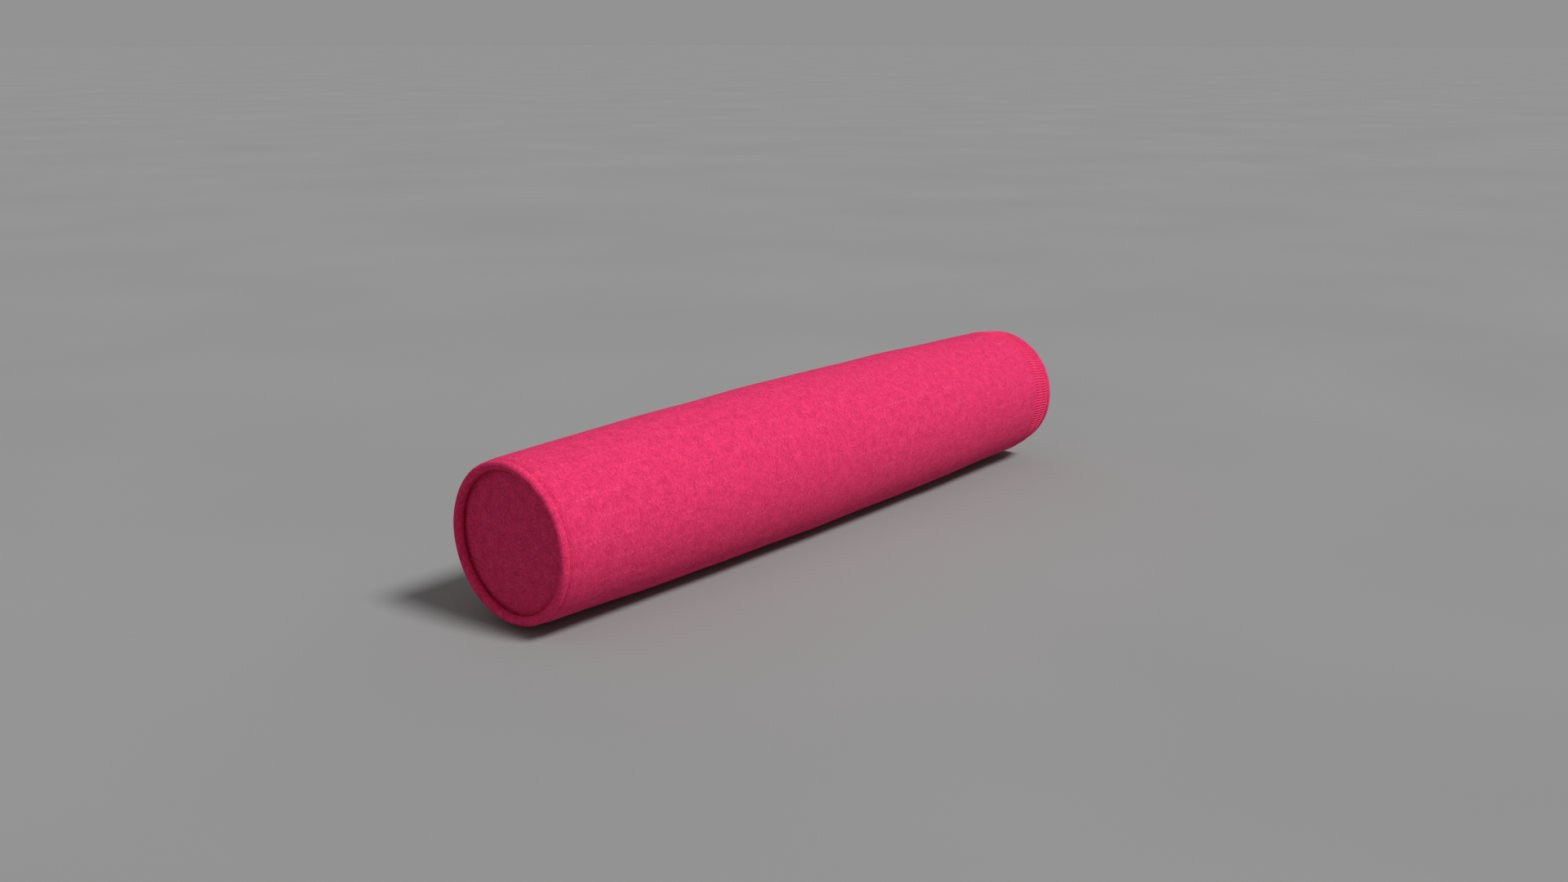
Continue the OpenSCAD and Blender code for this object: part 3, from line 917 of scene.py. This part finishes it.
# Stitching
thread = {
    "radius": 0.24 * mm,
    "flatlock": 0.5 * mm,
    "sides": 6,
    "steps": 6,
    "rise": 0.28 * mm,
    "sink": 0.25 * mm,
    "taper": 0.45,  # how much thinner a stitch is where it goes into the cloth
}


# One piece of many stitches, each from one place to another with the way out at each
def makeStitches(name, stitches, node, radius):
    points, faces = [], []
    sides, steps = thread["sides"], thread["steps"]
    for start, end, out in stitches:
        along = (end - start).normalized()
        beside = along.cross(out).normalized()
        base = len(points)
        for step in range(steps + 1):
            share = step / steps
            arch = math.sin(math.pi * share)
            lift = thread["rise"] * arch**0.6 - thread["sink"] * abs(2 * share - 1) ** 4
            middle = start.lerp(end, share) + out * lift
            thin = radius * (1 - thread["taper"] + thread["taper"] * arch**0.5)
            for side in range(sides):
                around = turn * side / sides
                points.append(middle + beside * thin * math.cos(around) + out * thin * math.sin(around))
        for step in range(steps):
            for side in range(sides):
                low, high = base + step * sides, base + (step + 1) * sides
                after = (side + 1) % sides
                faces.append((low + after, low + side, high + side, high + after))
        faces.append(tuple(base + side for side in range(sides)))
        faces.append(tuple(base + steps * sides + side for side in reversed(range(sides))))
    piece = makePiece(name, points, faces, finishes["sewing_thread"], "float")
    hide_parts(node)


# Where the sleeve's outside is at one place
def surfaceRadius(x, column):
    step = (places[-1] - places[0]) / (len(places) - 1)
    byRow = curveWeights([x], places[0], step, len(places))
    byColumn = curveWeights([column], 0, turn / len(angles), len(angles), True)
    inside = min(x - sleeveLow.x, sleeveHigh.x - x)
    uneven = wobble(x, column, sleeve["wobble"]) * min(1, inside / sleeve["calmEnd"])
    return (byRow @ swollen @ byColumn.T)[0, 0] + uneven


flatlock = {"pitch": 2.5 * mm, "rows": 2, "slant": 0.25, "inset": 0.3 * mm}


def makeFlatlock():
    low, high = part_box("far_flatlock_stitching")
    width = (high.x - low.x) / flatlock["rows"]
    count = round(turn * (high.y - low.y) / 2 / flatlock["pitch"])
    stitches = []
    for row in range(flatlock["rows"]):
        x0 = low.x + row * width + flatlock["inset"]
        x1 = low.x + (row + 1) * width - flatlock["inset"]
        for i in range(count):
            column = turn * (i + 0.5 * row) / count
            ahead = column + flatlock["slant"] * turn / count
            start = onBody(x0, surfaceRadius(x0, column), zipAngle + column)
            end = onBody(x1, surfaceRadius(x1, ahead), zipAngle + ahead)
            out = (onBody(0, 1, zipAngle + column) - onBody(0, 0, 0)).normalized()
            along = (end - start).normalized()
            stitches.append((start, end, (out - along * out.dot(along)).normalized()))
    makeStitches("flatlockThread", stitches, "far_flatlock_stitching", thread["flatlock"])


makeFlatlock()

topstitchLength = 2.6 * mm
topstitchSlack = 0.1 * mm
outward = Vector((0, math.cos(zipAngle), math.sin(zipAngle)))
upward = Vector((0, -math.sin(zipAngle), math.cos(zipAngle)))


def onZip(x, level, aside):
    return Vector((x, 0, axisZ)) + outward * level + upward * aside


# Distance from stitch to stitch, read from where the node's own pieces start
def stitchPitch(node):
    xs = sorted({round(v.co.x, 6) for v in nodes[node].data.vertices})
    return xs[2] - xs[0]


def makeTopstitching(name, node):
    low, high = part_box(node)
    middle = Vector((0, (low.y + high.y) / 2, (low.z + high.z) / 2 - axisZ))
    aside = middle.dot(upward)
    pitch = stitchPitch(node)
    count = round((high.x - low.x) / pitch)
    stitches = []
    for i in range(count + 1):
        x = low.x + i * pitch
        end = x + topstitchLength
        if end <= high.x + topstitchSlack:
            stitches.append((onZip(x, zipLevel, aside), onZip(end, zipLevel, aside), outward))
    makeStitches(name, stitches, node, thread["radius"])


def makeBarTacks():
    reach = (tackHigh.z - tackLow.z) / 2 / math.cos(zipAngle)
    stitches = []
    for x0 in (tackLow.x, tackHigh.x - tack["width"]):
        count = round(2 * reach / tack["pitch"])
        for i in range(count):
            aside = -reach + (i + 0.5) * tack["pitch"]
            end = onZip(x0 + tack["width"], zipLevel, aside + tack["lean"])
            stitches.append((onZip(x0, zipLevel, aside), end, outward))
    makeStitches("barTackThread", stitches, "zip_bar_tacks", thread["radius"])


makeTopstitching("upperTopstitch", "zip_stitching_upper")
makeTopstitching("lowerTopstitch", "zip_stitching_lower")
makeBarTacks()
print("stitching made")

# Zip hardware with its edges rounded: name, body and the rounding's width
rounding = {
    "zip_slider": ("sliderCast", "slider", 0.28 * mm),
    "zip_pull": ("pullCast", "pull", 0.25 * mm),
    "zip_teeth_upper": ("upperTeethMoulded", "float", 0.16 * mm),
    "zip_teeth_lower": ("lowerTeethMoulded", "float", 0.16 * mm),
    "zip_top_stops": ("topStopsMoulded", "float", 0.2 * mm),
    "zip_bottom_stop": ("bottomStopMoulded", "float", 0.2 * mm),
}
roundingSteps = 2
sharpEdge = math.radians(30)


def roundOff(node, name, body, width):
    mesh = nodes[node].data.copy()
    piece = bpy.data.objects.new(name, mesh)
    scene.collection.objects.link(piece)
    weld = piece.modifiers.new("weld", "WELD")
    weld.merge_threshold = hair
    bevel = piece.modifiers.new("rounding", "BEVEL")
    bevel.width = width
    bevel.segments = roundingSteps
    bevel.limit_method = "ANGLE"
    bevel.angle_limit = sharpEdge
    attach(piece, body)
    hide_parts(node)


for node, (name, body, width) in rounding.items():
    roundOff(node, name, body, width)
print("zip hardware rounded")
